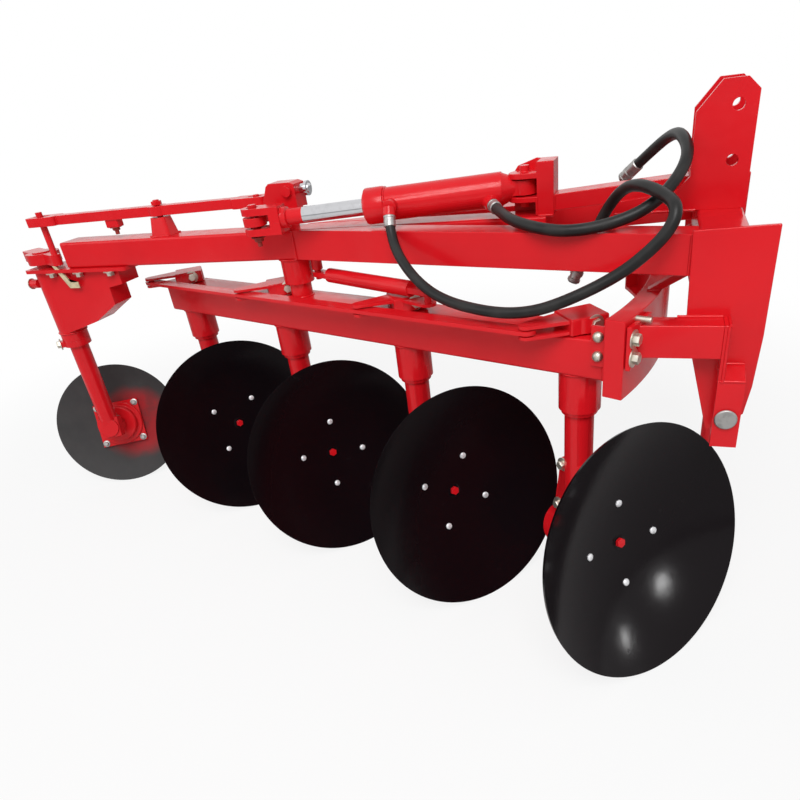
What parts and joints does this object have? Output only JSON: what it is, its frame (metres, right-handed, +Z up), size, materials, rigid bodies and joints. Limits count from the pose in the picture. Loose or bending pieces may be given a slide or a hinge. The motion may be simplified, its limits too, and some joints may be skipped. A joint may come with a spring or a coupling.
{
  "type": "reversible mounted disc plough",
  "caption": "Red reversible mounted disc plough: black concave discs on turning legs under a swinging beam, a hydraulic cylinder, a category 2 hitch and a steered furrow wheel.",
  "frame": {"origin": "on the ground, under the centre of the part's bounding box", "axes": "+X forward, the way the plough is pulled; +Y to the left; +Z up, along the swing axis of the disc beam"},
  "size_m": [2.7138, 1.2447, 1.33],
  "materials": {
    "red_paint": "gloss",
    "black_disc": "satin",
    "grey_wheel": "matte",
    "chrome_rod": "polished",
    "bare_steel": "brushed",
    "hose_rubber": "matte"
  },
  "bodies": {
    "frame": {"main_beam": "red_paint", "rail_right": "red_paint", "rail_left": "red_paint", "cross_tube": "red_paint", "mast": "red_paint", "cylinder_bracket": "red_paint", "stay": "red_paint", "side_plate_right": "red_paint", "side_plate_left": "red_paint", "hitch_plate_right": "red_paint", "hitch_plate_left": "red_paint", "lower_pin_right": "bare_steel", "lower_pin_left": "bare_steel", "guide_bar_right": "red_paint", "guide_bar_left": "red_paint", "arc_guide": "red_paint", "guide_hangers": "red_paint", "rocker_post": "red_paint", "wheel_housing": "red_paint", "drag_anchor": "red_paint", "stand_bracket": "red_paint"},
    "swing_beam": {"disc_beam": "red_paint", "swing_shaft": "red_paint", "shaft_head": "red_paint"},
    "leg_body_1": {"leg_1": "red_paint"},
    "leg_body_2": {"leg_2": "red_paint"},
    "leg_body_3": {"leg_3": "red_paint"},
    "leg_body_4": {"leg_4": "red_paint"},
    "disc_body_1": {"disc_1": "black_disc", "hub_1": "red_paint"},
    "disc_body_2": {"disc_2": "black_disc", "hub_2": "red_paint"},
    "disc_body_3": {"disc_3": "black_disc", "hub_3": "red_paint"},
    "disc_body_4": {"disc_4": "black_disc", "hub_4": "red_paint"},
    "tie_body": {"tie_bar": "red_paint"},
    "drag_body": {"drag_link": "red_paint"},
    "rocker_body": {"rocker_bar": "red_paint"},
    "wheel_head": {"wheel_shank": "red_paint", "steering_arm": "red_paint"},
    "wheel_body": {"furrow_wheel": "grey_wheel", "wheel_hub": "red_paint"},
    "barrel_body": {"cylinder_barrel": "red_paint", "hose_a": "hose_rubber", "hose_b": "hose_rubber", "coupler_a": "bare_steel", "coupler_b": "bare_steel"},
    "rod_body": {"cylinder_rod": "chrome_rod"},
    "stand_body": {"parking_stand": "red_paint"}
  },
  "joints": [
    {"name": "swing", "type": "hinge", "parent": "frame", "child": "swing_beam", "pos_m": [-0.00609, 0.1074, 0.797], "axis": [0, 0, 1], "range_deg": [0, 37]},
    {"name": "leg_1_turn", "type": "hinge", "parent": "swing_beam", "child": "leg_body_1", "pos_m": [-0.5988, 0.30571, 0.74], "axis": [0, 0, 1], "range_deg": [0, 43]},
    {"name": "leg_2_turn", "type": "hinge", "parent": "swing_beam", "child": "leg_body_2", "pos_m": [-0.09334, 0.13659, 0.74], "axis": [0, 0, 1], "range_deg": [0, 43]},
    {"name": "leg_3_turn", "type": "hinge", "parent": "swing_beam", "child": "leg_body_3", "pos_m": [0.41212, -0.03254, 0.74], "axis": [0, 0, 1], "range_deg": [0, 43]},
    {"name": "leg_4_turn", "type": "hinge", "parent": "swing_beam", "child": "leg_body_4", "pos_m": [0.91757, -0.20166, 0.74], "axis": [0, 0, 1], "range_deg": [0, 43]},
    {"name": "disc_1_spin", "type": "hinge", "parent": "leg_body_1", "child": "disc_body_1", "pos_m": [-0.5988, 0.30571, 0.25002], "axis": [0.7392, -0.6203, 0.2622], "continuous": true},
    {"name": "disc_2_spin", "type": "hinge", "parent": "leg_body_2", "child": "disc_body_2", "pos_m": [-0.09334, 0.13659, 0.25002], "axis": [0.7392, -0.6203, 0.2622], "continuous": true},
    {"name": "disc_3_spin", "type": "hinge", "parent": "leg_body_3", "child": "disc_body_3", "pos_m": [0.41212, -0.03254, 0.25002], "axis": [0.7392, -0.6203, 0.2622], "continuous": true},
    {"name": "disc_4_spin", "type": "hinge", "parent": "leg_body_4", "child": "disc_body_4", "pos_m": [0.91757, -0.20166, 0.25002], "axis": [0.7392, -0.6203, 0.2622], "continuous": true},
    {"name": "tie_bar_turn", "type": "hinge", "parent": "leg_body_2", "child": "tie_body", "pos_m": [-0.20802, 0.05629, 0.869], "axis": [0, 0, 1], "range_deg": [-43, 0]},
    {"name": "drag_link_turn", "type": "hinge", "parent": "frame", "child": "drag_body", "pos_m": [0.0663, 0.1074, 0.916], "axis": [0, 0, 1], "range_deg": [0, 52.75]},
    {"name": "rocker_turn", "type": "hinge", "parent": "frame", "child": "rocker_body", "pos_m": [-0.48209, 0.1074, 1.138], "axis": [0, 0, 1], "range_deg": [-12.73, 0]},
    {"name": "wheel_steer", "type": "hinge", "parent": "frame", "child": "wheel_head", "pos_m": [-1.0641, 0.1074, 0.83], "axis": [0, 0, 1], "range_deg": [0, 48.66]},
    {"name": "wheel_spin", "type": "hinge", "parent": "wheel_head", "child": "wheel_body", "pos_m": [-1.0641, 0.1074, 0.2884], "axis": [0.5124, -0.8012, 0.309], "continuous": true},
    {"name": "barrel_swing", "type": "hinge", "parent": "frame", "child": "barrel_body", "pos_m": [0.73191, 0.1074, 1.13], "axis": [0, 0, 1], "range_deg": [0, 0.9324]},
    {"name": "rod_slide", "type": "slide", "parent": "barrel_body", "child": "rod_body", "axis": [-0.9854, -0.1679, -0.0295], "range_m": [-0.08509, 0]},
    {"name": "stand_fold", "type": "hinge", "parent": "frame", "child": "stand_body", "pos_m": [1.29191, 0.5774, 0.83], "axis": [0, 1, 0], "range_deg": [0, 90]}
  ],
  "couplings": [
    {"joint": "leg_1_turn", "follows": "swing", "ratio": 1.1622},
    {"joint": "leg_2_turn", "follows": "swing", "ratio": 1.1622},
    {"joint": "leg_3_turn", "follows": "swing", "ratio": 1.1622},
    {"joint": "leg_4_turn", "follows": "swing", "ratio": 1.1622},
    {"joint": "tie_bar_turn", "follows": "swing", "ratio": -1.1622},
    {"joint": "drag_link_turn", "follows": "swing", "ratio": 1.4257},
    {"joint": "rocker_turn", "follows": "swing", "ratio": -0.34406},
    {"joint": "wheel_steer", "follows": "swing", "ratio": 1.3151},
    {"joint": "barrel_swing", "follows": "swing", "ratio": 0.0252},
    {"joint": "rod_slide", "follows": "swing", "m_per_rad": -0.13176}
  ]
}
